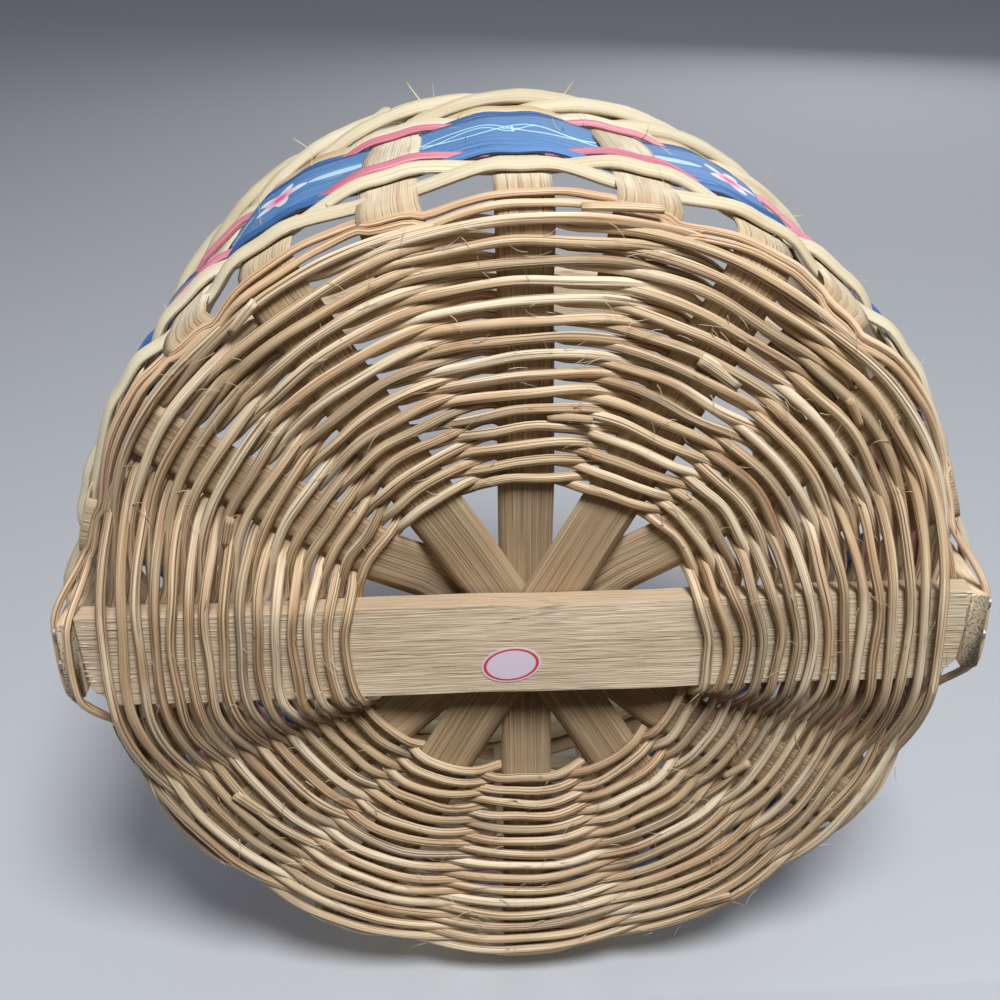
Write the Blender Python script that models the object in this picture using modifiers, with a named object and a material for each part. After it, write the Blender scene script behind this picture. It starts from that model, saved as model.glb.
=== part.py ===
"""Round knitting basket woven from reed, on a flat wooden base bar with a bent wooden hoop handle.

The basket stands upright on the rows that pass under the base bar: +Z is up, the bar lies along X,
and the origin is on the floor under the middle of the base. Lengths are in metres.
"""
import math

import bmesh
import bpy
from mathutils import Matrix, Vector

MM = 0.001

# Driving dimensions of the wooden frame
BAR_LENGTH = 237 * MM
BAR_WIDTH = 28 * MM
BAR_THICKNESS = 6.5 * MM
BAR_END_SLANT = 1.5 * MM
BAR_CORNER_CUT = 6 * MM
HANDLE_WIDTH = 23 * MM
HANDLE_THICKNESS = 5 * MM
HANDLE_TOP = 300 * MM
HANDLE_FOOT_RISE = 1 * MM
HANDLE_EDGE_ROUND = 1 * MM
HANDLE_EDGE_MIN_ANGLE = math.radians(50)
HANDLE_ARCH_STEPS = 24
HANDLE_SIDE_STEPS = 4

# Driving dimensions of the nails that hold the hoop to the bar
NAIL_LENGTH = 14 * MM
NAIL_SHANK_RADIUS = 0.7 * MM
NAIL_HEAD_RADIUS = 1.6 * MM
NAIL_HEAD_THICKNESS = 0.8 * MM
NAIL_SPACING_SHARE = 0.435
NAIL_SIDE_SHIFT_SHARE = 0.13
NAIL_SIDES = 10

# Driving dimensions of the flat reeds: base spokes and inserted side stakes
SPOKE_WIDTH = 16 * MM
SPOKE_THICKNESS = 1 * MM
HUB_CROSSING_SHARE = 1.94
HUB_LEVEL_SHARE = 2.875
STAKE_TAIL_REACH = 15 * MM
STAKE_TAIL_PAST_ROWS = 2 * MM
STAKE_FREE_PAST_ROWS = 7.5 * MM

# Driving dimensions of the basket's shape, measured on the middle of the flat reeds
WALL_OUTSIDE_BAR = 3.5 * MM
CORNER_RADIUS = 9 * MM
WALL_BOW_SHARE = 3.77
WALL_START_ANGLE = math.radians(86.5)
CORNER_STEPS = 4
WALL_STEPS = 5

# Driving dimensions of the woven rows
ROUND_REED_DIAMETER = 2.8 * MM
HUB_TO_FIRST_ROW = 2.5 * MM
BASE_ROWS_PAST_FLAT = 2.8 * MM
BASE_ROW_COUNT = 15
CORNER_ROW_PITCH = 5 * MM
CORNER_ROW_COUNT = 2
SIDE_GAP_ABOVE_CORNER = 4.5 * MM
SIDE_ROW_GAP = 1.2 * MM
PALE_ROW_WIDTH = 7 * MM
THIN_ROW_WIDTH = 4 * MM
PRINTED_BAND_WIDTH = 36 * MM
PALE_ROW_THICKNESS = 1.4 * MM
THIN_ROW_THICKNESS = 1.3 * MM
PRINTED_BAND_THICKNESS = 0.8 * MM
BORDER_WIDTH = 11 * MM
BORDER_OUTSIDE_THICKNESS = 4 * MM
BORDER_INSIDE_THICKNESS = 2.2 * MM
BORDER_COVER = 1 * MM
ROUND_ROW_SIDE_ROOM = 1.6 * MM
FLAT_ROW_SIDE_ROOM = 1 * MM
FRAME_SIDE_ROOM = 2 * MM
LONG_GAP = 12 * MM

# Driving dimensions of the blank paper label
LABEL_LENGTH = 16.3 * MM
LABEL_WIDTH = 11 * MM
LABEL_THICKNESS = 0.2 * MM
LABEL_SHIFT_X = -4.5 * MM
LABEL_SHIFT_Y = 4.8 * MM
LABEL_TURN = math.radians(-8)
LABEL_SIDES = 32

# What touches in the real basket is kept this far apart in the model
CLEARANCE = 0.3 * MM
CUT_OVERRUN = 1 * MM
WELD_DISTANCE = CLEARANCE * 0.01

# Angle of one arm of each base spoke, and its level in the pile at the hub, counted from below
SPOKES = ((34, 4), (59, 1), (90, 2), (119, 0), (144, 3))
HALF_TURN = 180
FULL_TURN = 360

# Heights and places that follow from the driving dimensions
SPOKE_HALF = SPOKE_THICKNESS / 2
ROUND_HALF = ROUND_REED_DIAMETER / 2
BAR_UNDERSIDE = ROUND_REED_DIAMETER + CLEARANCE
BAR_TOP = BAR_UNDERSIDE + BAR_THICKNESS
BASE_LEVEL = BAR_TOP + CLEARANCE + SPOKE_HALF
SPOKE_PILE_PITCH = SPOKE_THICKNESS + CLEARANCE
HANDLE_INNER = BAR_LENGTH / 2 + CLEARANCE
HANDLE_OUTER = HANDLE_INNER + HANDLE_THICKNESS
HANDLE_MIDDLE = HANDLE_INNER + HANDLE_THICKNESS / 2
HANDLE_FOOT = BAR_UNDERSIDE + HANDLE_FOOT_RISE
HANDLE_SPRING = HANDLE_TOP - HANDLE_OUTER
NAIL_SPACING = HANDLE_WIDTH * NAIL_SPACING_SHARE
NAIL_SIDE_SHIFT = HANDLE_WIDTH * NAIL_SIDE_SHIFT_SHARE
HUB_CROSSING_RADIUS = SPOKE_WIDTH * HUB_CROSSING_SHARE
HUB_LEVEL_RADIUS = SPOKE_WIDTH * HUB_LEVEL_SHARE
WALL_RADIUS = BAR_LENGTH / 2 + WALL_OUTSIDE_BAR
WALL_BOW_RADIUS = WALL_RADIUS * WALL_BOW_SHARE
CORNER_REACH = CORNER_RADIUS * math.sin(WALL_START_ANGLE)
WALL_SWELL = WALL_BOW_RADIUS * (1 - math.sin(WALL_START_ANGLE))
BASE_FLAT_RADIUS = WALL_RADIUS - WALL_SWELL - CORNER_REACH
CORNER_LENGTH = CORNER_RADIUS * WALL_START_ANGLE
WALL_START = BASE_FLAT_RADIUS + CORNER_LENGTH
ROUND_ROW_OFFSET = SPOKE_HALF + CLEARANCE + ROUND_HALF
STAKE_TAIL_OFFSET = -(ROUND_ROW_OFFSET + ROUND_HALF + CLEARANCE + SPOKE_HALF)
FIRST_BASE_ROW_RADIUS = HUB_LEVEL_RADIUS + HUB_TO_FIRST_ROW
LAST_BASE_ROW = BASE_FLAT_RADIUS + BASE_ROWS_PAST_FLAT
BASE_ROW_PITCH = (LAST_BASE_ROW - FIRST_BASE_ROW_RADIUS) / (BASE_ROW_COUNT - 1)
STAKE_TAIL_START = LAST_BASE_ROW - STAKE_TAIL_REACH
STAKE_TAIL_END = LAST_BASE_ROW + STAKE_TAIL_PAST_ROWS
STAKE_FREE_START = LAST_BASE_ROW + STAKE_FREE_PAST_ROWS
LAST_CORNER_ROW = LAST_BASE_ROW + CORNER_ROW_PITCH * CORNER_ROW_COUNT
SIDE_ROWS_START = LAST_CORNER_ROW + ROUND_HALF + SIDE_GAP_ABOVE_CORNER

# Side rows from the base upwards: name, width, thickness, material, bands of faces across the row
SIDE_ROWS = (
    ("pale_row_1", PALE_ROW_WIDTH, PALE_ROW_THICKNESS, "pale_reed", 1),
    ("pale_row_2", PALE_ROW_WIDTH, PALE_ROW_THICKNESS, "pale_reed", 1),
    ("blue_row_1", THIN_ROW_WIDTH, THIN_ROW_THICKNESS, "blue_reed", 1),
    ("pink_row_1", THIN_ROW_WIDTH, THIN_ROW_THICKNESS, "pink_reed", 1),
    ("printed_band", PRINTED_BAND_WIDTH, PRINTED_BAND_THICKNESS, "printed_band", 2),
    ("pink_row_2", THIN_ROW_WIDTH, THIN_ROW_THICKNESS, "pink_reed", 1),
    ("blue_row_2", THIN_ROW_WIDTH, THIN_ROW_THICKNESS, "blue_reed", 1),
    ("pale_row_3", PALE_ROW_WIDTH, PALE_ROW_THICKNESS, "pale_reed", 1),
    ("tan_row", PALE_ROW_WIDTH, PALE_ROW_THICKNESS, "tan_reed", 1),
)
SIDE_ROWS_WIDTH = sum(row[1] + SIDE_ROW_GAP for row in SIDE_ROWS)
BORDER_START = SIDE_ROWS_START + SIDE_ROWS_WIDTH
STAKE_TOP = BORDER_START + BORDER_WIDTH - BORDER_COVER

# Material name: colour, roughness, metallic
MATERIALS = {
    "bar_wood": ((0.60, 0.47, 0.32), 0.7, 0.0),
    "handle_wood": ((0.66, 0.54, 0.38), 0.6, 0.0),
    "spoke_reed": ((0.45, 0.32, 0.18), 0.75, 0.0),
    "round_reed": ((0.42, 0.30, 0.17), 0.65, 0.0),
    "pale_reed": ((0.80, 0.73, 0.52), 0.6, 0.0),
    "tan_reed": ((0.70, 0.52, 0.32), 0.65, 0.0),
    "blue_reed": ((0.05, 0.16, 0.42), 0.5, 0.0),
    "pink_reed": ((0.58, 0.10, 0.16), 0.5, 0.0),
    "printed_band": ((0.06, 0.18, 0.45), 0.5, 0.0),
    "nail_steel": ((0.45, 0.45, 0.45), 0.35, 1.0),
    "label_paper": ((0.62, 0.55, 0.72), 0.4, 0.0),
}


def clear_scene():
    for item in list(bpy.data.objects):
        bpy.data.objects.remove(item, do_unlink=True)


def new_collection(name):
    collection = bpy.data.collections.new(name)
    bpy.context.scene.collection.children.link(collection)
    return collection


def material(name):
    """Returns the named material, made on its first use."""
    found = bpy.data.materials.get(name)
    if found:
        return found
    colour, roughness, metallic = MATERIALS[name]
    made = bpy.data.materials.new(name)
    made.use_nodes = True
    shader = made.node_tree.nodes["Principled BSDF"]
    shader.inputs["Base Color"].default_value = (*colour, 1)
    shader.inputs["Roughness"].default_value = roughness
    shader.inputs["Metallic"].default_value = metallic
    return made


def add_object(name, data, collection, material_name):
    piece = bpy.data.objects.new(name, data)
    collection.objects.link(piece)
    data.materials.append(material(material_name))
    return piece


# The basket's side view: a flat base, a round corner and a slightly bowed wall

def side_view(along):
    """Radius, height and direction of the reeds' middle surface at a length along it from the centre."""
    if along <= BASE_FLAT_RADIUS:
        return along, BASE_LEVEL, 0.0
    if along <= WALL_START:
        turn = (along - BASE_FLAT_RADIUS) / CORNER_RADIUS
        radius = BASE_FLAT_RADIUS + CORNER_RADIUS * math.sin(turn)
        return radius, BASE_LEVEL + CORNER_RADIUS * (1 - math.cos(turn)), turn
    turn = WALL_START_ANGLE + (along - WALL_START) / WALL_BOW_RADIUS
    corner_height = BASE_LEVEL + CORNER_RADIUS * (1 - math.cos(WALL_START_ANGLE))
    radius = WALL_RADIUS - WALL_BOW_RADIUS * (1 - math.sin(turn))
    return radius, corner_height + WALL_BOW_RADIUS * (math.cos(WALL_START_ANGLE) - math.cos(turn)), turn


def surface_point(along, offset, angle, sideways=0.0):
    """A point beside the middle surface: offset outwards, sideways along the basket's girth."""
    radius, height, turn = side_view(along)
    outward = Vector((math.cos(angle), math.sin(angle), 0))
    across = Vector((-math.sin(angle), math.cos(angle), 0))
    point = outward * (radius + offset * math.sin(turn)) + across * sideways
    point.z = height - offset * math.cos(turn)
    return point


def stake_angles():
    """Angles of the handle's two sides and the spoke arms, each followed by an inserted stake's angle."""
    arms = [0, HALF_TURN]
    for angle, _ in SPOKES:
        arms += [angle, angle + HALF_TURN]
    arms.sort()
    angles = []
    for arm, following in zip(arms, arms[1:] + [FULL_TURN]):
        angles += [math.radians(arm), math.radians((arm + following) / 2)]
    return angles


STAKE_ANGLES = stake_angles()
STAKE_COUNT = len(STAKE_ANGLES)


def is_frame(index):
    """True at the two places where a row meets the bar or the handle instead of a reed."""
    return index % (STAKE_COUNT // 2) == 0


# Rows that go round the basket, in front of some stakes and behind the others

def base_row_places(index, along, side):
    """The two points where a base row crosses a spoke, or passes under the bar."""
    angle = STAKE_ANGLES[index]
    if not is_frame(index):
        reach = SPOKE_WIDTH / 2 + ROUND_ROW_SIDE_ROOM
        return [surface_point(along, side * ROUND_ROW_OFFSET, angle, reach * way) for way in (-1, 1)]
    reach = BAR_WIDTH / 2 + FRAME_SIDE_ROOM
    return frame_places(angle, along, ROUND_HALF, reach)


def frame_places(angle, radius, height, reach):
    """Two points on either side of the bar or the handle, at a radius and height."""
    outward = Vector((math.cos(angle), math.sin(angle), 0))
    across = Vector((-math.sin(angle), math.cos(angle), 0))
    places = []
    for way in (-1, 1):
        point = outward * radius + across * reach * way
        places.append(Vector((point.x, point.y, height)))
    return places


def wall_row_places(index, along, side, half_thickness, side_room):
    """The two points where a wall row crosses a stake or one side of the handle."""
    angle = STAKE_ANGLES[index]
    if not is_frame(index):
        reach = SPOKE_WIDTH / 2 + side_room
        offset = SPOKE_HALF + CLEARANCE + half_thickness
        return [surface_point(along, side * offset, angle, reach * way) for way in (-1, 1)]
    if side > 0:
        radius = HANDLE_OUTER + CLEARANCE + half_thickness
    else:
        radius = HANDLE_INNER - CLEARANCE - half_thickness
    height = surface_point(along, 0, angle).z
    return frame_places(angle, radius, height, HANDLE_WIDTH / 2 + FRAME_SIDE_ROOM)


def base_row_path(row):
    """The closed path of one base row; neighbours pass the spokes on opposite sides."""
    along = FIRST_BASE_ROW_RADIUS + BASE_ROW_PITCH * row
    path = []
    for arm, index in enumerate(range(0, STAKE_COUNT, 2)):
        side = 1 if (arm + row) % 2 == 0 else -1
        path += base_row_places(index, along, side)
    filled = []
    for place, following in zip(path, path[1:] + path[:1]):
        filled.append(place)
        middle = (place + following) / 2
        if (following - place).length > LONG_GAP and middle.to_2d().length < along:
            stretch = along / middle.to_2d().length
            filled.append(Vector((middle.x * stretch, middle.y * stretch, middle.z)))
    return filled


def wall_row_path(along, first_side, half_thickness, side_room, alternate=True):
    path = []
    for index in range(STAKE_COUNT):
        side = first_side * (-1 if alternate and index % 2 else 1)
        path += wall_row_places(index, along, side, half_thickness, side_room)
    return path


def round_row(name, path, collection):
    """A closed row of round reed."""
    curve = bpy.data.curves.new(name, "CURVE")
    curve.dimensions = "3D"
    curve.twist_mode = "Z_UP"
    curve.bevel_depth = ROUND_HALF
    curve.bevel_resolution = 0
    spline = curve.splines.new("POLY")
    spline.points.add(len(path) - 1)
    for point, place in zip(spline.points, path):
        point.co = (*place, 1)
    spline.use_cyclic_u = True
    return add_object(name, curve, collection, "round_reed")


def ribbon(name, rails, thickness, closed, collection, material_name):
    """A flat reed: a sheet between rails, which are lists of points side by side, given its thickness."""
    if closed:
        rails = [rail + rail[:1] for rail in rails]
    length = len(rails[0])
    mesh = bpy.data.meshes.new(name)
    bm = bmesh.new()
    bmesh.ops.create_grid(bm, x_segments=length - 1, y_segments=len(rails) - 1, size=1)
    bm.verts.ensure_lookup_table()
    for number, vert in enumerate(bm.verts):
        vert.co = rails[number // length][number % length]
    if closed:
        bmesh.ops.remove_doubles(bm, verts=bm.verts, dist=WELD_DISTANCE)
    bm.to_mesh(mesh)
    bm.free()
    piece = add_object(name, mesh, collection, material_name)
    solid = piece.modifiers.new("Thickness", "SOLIDIFY")
    solid.thickness = thickness
    solid.offset = 0
    solid.use_even_offset = True
    return piece


def make_base_rows(collection):
    for row in range(BASE_ROW_COUNT):
        round_row(f"base_row_{row + 1:02d}", base_row_path(row), collection)


def make_corner_rows(collection):
    for row in range(CORNER_ROW_COUNT):
        along = LAST_BASE_ROW + CORNER_ROW_PITCH * (row + 1)
        first_side = -1 if row % 2 == 0 else 1
        path = wall_row_path(along, first_side, ROUND_HALF, ROUND_ROW_SIDE_ROOM)
        round_row(f"corner_row_{row + 1}", path, collection)


def make_side_rows(collection):
    start = SIDE_ROWS_START
    for number, (name, width, thickness, material_name, bands) in enumerate(SIDE_ROWS):
        side = 1 if number % 2 == 0 else -1
        rails = []
        for band in range(bands + 1):
            along = start + width * band / bands
            rails.append(wall_row_path(along, side, thickness / 2, FLAT_ROW_SIDE_ROOM))
        ribbon(name, rails, thickness, True, collection, material_name)
        start += width + SIDE_ROW_GAP


def make_border(collection):
    """The folded border: one band of turned-down reed ends outside the stakes and one inside."""
    bands = (("border_outside", 1, BORDER_OUTSIDE_THICKNESS), ("border_inside", -1, BORDER_INSIDE_THICKNESS))
    for name, side, thickness in bands:
        rails = []
        for along in (BORDER_START, BORDER_START + BORDER_WIDTH):
            rails.append(wall_row_path(along, side, thickness / 2, FLAT_ROW_SIDE_ROOM, False))
        ribbon(name, rails, thickness, True, collection, "pale_reed")


# Flat reeds: spokes across the base and stakes up the wall

def evenly(first, last, steps):
    return [first + (last - first) * step / steps for step in range(steps + 1)]


def wall_stations():
    """Lengths along the side view where an upright reed bends: the corner and the bowed wall."""
    corner = evenly(BASE_FLAT_RADIUS, WALL_START, CORNER_STEPS)
    wall = evenly(WALL_START, STAKE_TOP, WALL_STEPS)
    return corner + wall[1:]


def reed_rails(stations, angle):
    """The two edges of a flat reed through stations of length, offset and direction from the centre."""
    rails = []
    for way in (-1, 1):
        rail = []
        for along, offset, direction in stations:
            sideways = way * direction * SPOKE_WIDTH / 2
            turned = angle if direction > 0 else angle + math.pi
            rail.append(surface_point(along, offset, turned, sideways))
        rails.append(rail)
    return rails


def make_spokes(collection):
    for number, (angle, level) in enumerate(SPOKES):
        lift = -level * SPOKE_PILE_PITCH
        arm = [(HUB_CROSSING_RADIUS, lift), (HUB_LEVEL_RADIUS, 0)]
        arm += [(along, 0) for along in wall_stations()]
        stations = [(along, offset, -1) for along, offset in reversed(arm)]
        stations += [(along, offset, 1) for along, offset in arm]
        rails = reed_rails(stations, math.radians(angle))
        ribbon(f"base_spoke_{number + 1}", rails, SPOKE_THICKNESS, False, collection, "spoke_reed")


def make_inserted_stakes(collection):
    stations = [(STAKE_TAIL_START, STAKE_TAIL_OFFSET, 1), (STAKE_TAIL_END, STAKE_TAIL_OFFSET, 1)]
    stations += [(along, 0, 1) for along in wall_stations() if along > STAKE_FREE_START]
    stations.insert(2, (STAKE_FREE_START, 0, 1))
    for number, angle in enumerate(STAKE_ANGLES[1::2]):
        rails = reed_rails(stations, angle)
        ribbon(f"side_stake_{number + 1:02d}", rails, SPOKE_THICKNESS, False, collection, "spoke_reed")


# The wooden frame: base bar, hoop handle and nails

def mesh_from_curve(curve_object):
    """Replaces a curve object by a mesh object of the same name and shape."""
    bpy.context.view_layer.update()
    graph = bpy.context.evaluated_depsgraph_get()
    mesh = bpy.data.meshes.new_from_object(curve_object.evaluated_get(graph))
    bm = bmesh.new()
    bm.from_mesh(mesh)
    bmesh.ops.remove_doubles(bm, verts=bm.verts, dist=WELD_DISTANCE)
    bm.to_mesh(mesh)
    bm.free()
    name = curve_object.name
    collection = curve_object.users_collection[0]
    place = curve_object.matrix_world.copy()
    bpy.data.objects.remove(curve_object, do_unlink=True)
    piece = bpy.data.objects.new(name, mesh)
    piece.matrix_world = place
    collection.objects.link(piece)
    return piece


def nail_places():
    """Middle of each nail's head on the handle's outside, and the way it points."""
    height = BAR_UNDERSIDE + BAR_THICKNESS / 2
    places = []
    for side in (-1, 1):
        for way in (-1, 1):
            across = way * NAIL_SPACING / 2 - NAIL_SIDE_SHIFT
            places.append((Vector((side * (HANDLE_OUTER + CLEARANCE), across, height)), side))
    return places


def make_nail_cutters(collection):
    """Cylinders that drill the hoop and the bar for every nail."""
    cutters = []
    depth = NAIL_LENGTH + CUT_OVERRUN + CLEARANCE
    for number, (place, side) in enumerate(nail_places()):
        mesh = bpy.data.meshes.new(f"nail_hole_{number + 1}")
        bm = bmesh.new()
        radius = NAIL_SHANK_RADIUS + CLEARANCE
        bmesh.ops.create_cone(bm, cap_ends=True, segments=NAIL_SIDES, radius1=radius,
                              radius2=radius, depth=depth)
        middle = place - Vector((side * (depth / 2 - CUT_OVERRUN), 0, 0))
        move = Matrix.Translation(middle) @ Matrix.Rotation(math.pi / 2, 4, "Y")
        bmesh.ops.transform(bm, matrix=move, verts=bm.verts)
        bm.to_mesh(mesh)
        bm.free()
        cutter = bpy.data.objects.new(mesh.name, mesh)
        cutter.hide_render = True
        cutter.display_type = "WIRE"
        collection.objects.link(cutter)
        cutters.append(cutter)
    return cutters


def drill(piece, cutters):
    for cutter in cutters:
        cut = piece.modifiers.new("Nail hole", "BOOLEAN")
        cut.operation = "DIFFERENCE"
        cut.object = cutter


def make_base_bar(collection, cutters):
    """The flat bar under the base, its ends slanting in to the corners on one side."""
    half_length = BAR_LENGTH / 2
    half_width = BAR_WIDTH / 2
    end = (
        (half_length, -half_width),
        (half_length - BAR_END_SLANT, half_width - BAR_CORNER_CUT),
        (half_length - BAR_END_SLANT - BAR_CORNER_CUT, half_width),
    )
    outline = list(end) + [(-x, y) for x, y in reversed(end)]
    curve = bpy.data.curves.new("base_bar", "CURVE")
    curve.dimensions = "2D"
    curve.fill_mode = "BOTH"
    curve.extrude = BAR_THICKNESS / 2
    spline = curve.splines.new("POLY")
    spline.points.add(len(outline) - 1)
    for point, (x, y) in zip(spline.points, outline):
        point.co = (x, y, 0, 1)
    spline.use_cyclic_u = True
    drawn = add_object("handle_base_bar", curve, collection, "bar_wood")
    drawn.location.z = BAR_UNDERSIDE + BAR_THICKNESS / 2
    bar = mesh_from_curve(drawn)
    drill(bar, cutters)


def make_handle(collection, cutters):
    """The hoop: two upright sides outside the bar's ends and a half-round arch over the basket."""
    side = [(HANDLE_MIDDLE, height) for height in evenly(HANDLE_FOOT, HANDLE_SPRING, HANDLE_SIDE_STEPS)]
    arch = []
    for turn in evenly(0, math.pi, HANDLE_ARCH_STEPS)[1:-1]:
        arch.append((HANDLE_MIDDLE * math.cos(turn), HANDLE_SPRING + HANDLE_MIDDLE * math.sin(turn)))
    outline = side + arch + [(-x, z) for x, z in reversed(side)]
    rails = []
    for way in (-1, 1):
        rails.append([Vector((x, way * HANDLE_WIDTH / 2, z)) for x, z in outline])
    hoop = ribbon("handle_hoop", rails, HANDLE_THICKNESS, False, collection, "handle_wood")
    edge = hoop.modifiers.new("Rounded edges", "BEVEL")
    edge.width = HANDLE_EDGE_ROUND
    edge.segments = 1
    edge.limit_method = "ANGLE"
    edge.angle_limit = HANDLE_EDGE_MIN_ANGLE
    drill(hoop, cutters)


def make_nails(collection):
    """Each nail is a turned profile, its head on the hoop and its shank through into the bar's end."""
    profile = (
        (0, NAIL_HEAD_THICKNESS),
        (NAIL_HEAD_RADIUS, NAIL_HEAD_THICKNESS),
        (NAIL_HEAD_RADIUS, 0),
        (NAIL_SHANK_RADIUS, 0),
        (NAIL_SHANK_RADIUS, -NAIL_LENGTH + NAIL_SHANK_RADIUS),
        (0, -NAIL_LENGTH),
    )
    for number, (place, side) in enumerate(nail_places()):
        mesh = bpy.data.meshes.new("nail")
        bm = bmesh.new()
        verts = [bm.verts.new((x, 0, z)) for x, z in profile]
        for upper, lower in zip(verts, verts[1:]):
            bm.edges.new((upper, lower))
        bm.to_mesh(mesh)
        bm.free()
        nail = add_object(f"handle_nail_{number + 1}", mesh, collection, "nail_steel")
        turned = nail.modifiers.new("Turned", "SCREW")
        turned.steps = NAIL_SIDES
        turned.render_steps = NAIL_SIDES
        turned.use_merge_vertices = True
        turned.merge_threshold = WELD_DISTANCE
        nail.location = place
        nail.rotation_euler = (0, side * math.pi / 2, 0)


def make_label(collection):
    """The blank oval paper label on the bar's underside."""
    mesh = bpy.data.meshes.new("paper_label")
    bm = bmesh.new()
    bmesh.ops.create_cone(bm, cap_ends=True, segments=LABEL_SIDES, radius1=LABEL_LENGTH / 2,
                          radius2=LABEL_LENGTH / 2, depth=LABEL_THICKNESS)
    bmesh.ops.scale(bm, vec=(1, LABEL_WIDTH / LABEL_LENGTH, 1), verts=bm.verts)
    bm.to_mesh(mesh)
    bm.free()
    label = add_object("paper_label", mesh, collection, "label_paper")
    label.location = (LABEL_SHIFT_X, LABEL_SHIFT_Y, BAR_UNDERSIDE - CLEARANCE - LABEL_THICKNESS / 2)
    label.rotation_euler.z = LABEL_TURN


def make_basket():
    clear_scene()
    basket = new_collection("knitting_basket")
    cutters = make_nail_cutters(new_collection("cutters"))
    make_base_bar(basket, cutters)
    make_handle(basket, cutters)
    make_nails(basket)
    make_spokes(basket)
    make_inserted_stakes(basket)
    make_base_rows(basket)
    make_corner_rows(basket)
    make_side_rows(basket)
    make_border(basket)
    make_label(basket)


make_basket()
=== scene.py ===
import itertools
import math
import random

import bmesh
import bpy
from mathutils import Matrix, Vector


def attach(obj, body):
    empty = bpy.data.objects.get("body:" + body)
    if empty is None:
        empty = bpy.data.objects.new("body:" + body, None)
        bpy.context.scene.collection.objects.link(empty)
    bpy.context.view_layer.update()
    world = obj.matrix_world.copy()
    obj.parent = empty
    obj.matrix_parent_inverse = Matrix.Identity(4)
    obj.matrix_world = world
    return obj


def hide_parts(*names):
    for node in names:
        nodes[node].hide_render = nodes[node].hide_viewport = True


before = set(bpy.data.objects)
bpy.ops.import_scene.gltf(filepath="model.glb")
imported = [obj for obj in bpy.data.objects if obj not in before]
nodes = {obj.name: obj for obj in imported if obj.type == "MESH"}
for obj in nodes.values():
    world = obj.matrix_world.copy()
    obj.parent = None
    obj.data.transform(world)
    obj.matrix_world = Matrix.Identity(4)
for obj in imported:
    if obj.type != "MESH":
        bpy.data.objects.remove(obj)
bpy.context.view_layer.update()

mm = 0.001
dice = random.Random(7)

# The basket's own sizes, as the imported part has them
basket = {
    "baseLevel": 10.4 * mm,
    "wallRadius": 122 * mm,
    "cornerRadius": 9 * mm,
    "bowRadius": 460 * mm,
    "wallStart": math.radians(86.5),
    "spokeWidth": 16 * mm,
    "spokeThickness": 1 * mm,
    "barUnderside": 3.1 * mm,
    "barTop": 9.6 * mm,
    "barWidth": 28 * mm,
    "hoopInner": 118.8 * mm,
    "hoopOuter": 123.8 * mm,
    "hoopWidth": 23 * mm,
    "hoopFoot": 4.1 * mm,
    "hoopTop": 300 * mm,
    "firstRow": 48.5 * mm,
    "lastRow": 115 * mm,
    "rowCount": 15,
    "sideStart": 130.9 * mm,
}
spokeAngles = {
    "base_spoke_1": 34, "base_spoke_2": 59, "base_spoke_3": 90, "base_spoke_4": 119, "base_spoke_5": 144,
}
spokeShares = {"base_spoke_3": 0.88}
spokeLevels = {"base_spoke_1": 4, "base_spoke_2": 1, "base_spoke_3": 2, "base_spoke_4": 0, "base_spoke_5": 3}

arms = sorted([0, 180] + list(spokeAngles.values()) + [angle + 180 for angle in spokeAngles.values()])
stakeAngles = []
for arm, following in zip(arms, arms[1:] + [360]):
    stakeAngles += [math.radians(arm), math.radians((arm + following) / 2)]

wallFoot = basket["wallRadius"] - basket["bowRadius"] * (1 - math.sin(basket["wallStart"]))
flatRadius = wallFoot - basket["cornerRadius"] * math.sin(basket["wallStart"])
wallBegin = flatRadius + basket["cornerRadius"] * basket["wallStart"]
cornerHeight = basket["baseLevel"] + basket["cornerRadius"] * (1 - math.cos(basket["wallStart"]))


# The reeds' middle surface: flat base, round corner, bowed wall
def sideView(along):
    if along <= flatRadius:
        return along, basket["baseLevel"], 0.0
    if along <= wallBegin:
        turn = (along - flatRadius) / basket["cornerRadius"]
        radius = flatRadius + basket["cornerRadius"] * math.sin(turn)
        return radius, basket["baseLevel"] + basket["cornerRadius"] * (1 - math.cos(turn)), turn
    turn = basket["wallStart"] + (along - wallBegin) / basket["bowRadius"]
    radius = basket["wallRadius"] - basket["bowRadius"] * (1 - math.sin(turn))
    return radius, cornerHeight + basket["bowRadius"] * (math.cos(basket["wallStart"]) - math.cos(turn)), turn


def outwardAt(angle):
    return Vector((math.cos(angle), math.sin(angle), 0))


def acrossAt(angle):
    return Vector((-math.sin(angle), math.cos(angle), 0))


def onBasket(along, offset, angle, sideways=0.0):
    radius, height, turn = sideView(along)
    point = outwardAt(angle) * (radius + offset * math.sin(turn)) + acrossAt(angle) * sideways
    point.z = height - offset * math.cos(turn)
    return point


def faceAt(along, angle):
    turn = sideView(along)[2]
    return outwardAt(angle) * math.sin(turn) - Vector((0, 0, math.cos(turn)))


def smoothPath(points, steps, closed):
    count = len(points)
    path = []
    for span in range(count if closed else count - 1):
        if closed:
            a, b, c, d = [points[(span + shift) % count] for shift in (-1, 0, 1, 2)]
        else:
            a, b, c, d = [points[min(max(span + shift, 0), count - 1)] for shift in (-1, 0, 1, 2)]
        for step in range(steps):
            t = step / steps
            bend, twist = 2 * a - 5 * b + 4 * c - d, 3 * b - a - 3 * c + d
            path.append((2 * b + (c - a) * t + bend * t ** 2 + twist * t ** 3) / 2)
    if not closed:
        path.append(points[-1].copy())
    return path


# Cross-sections: pairs of thickness outwards and width along the row
def ovalSection(thickness, width, count=8):
    turns = [2 * math.pi * step / count for step in range(count)]
    return [(thickness / 2 * math.cos(turn), width / 2 * math.sin(turn)) for turn in turns]


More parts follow.
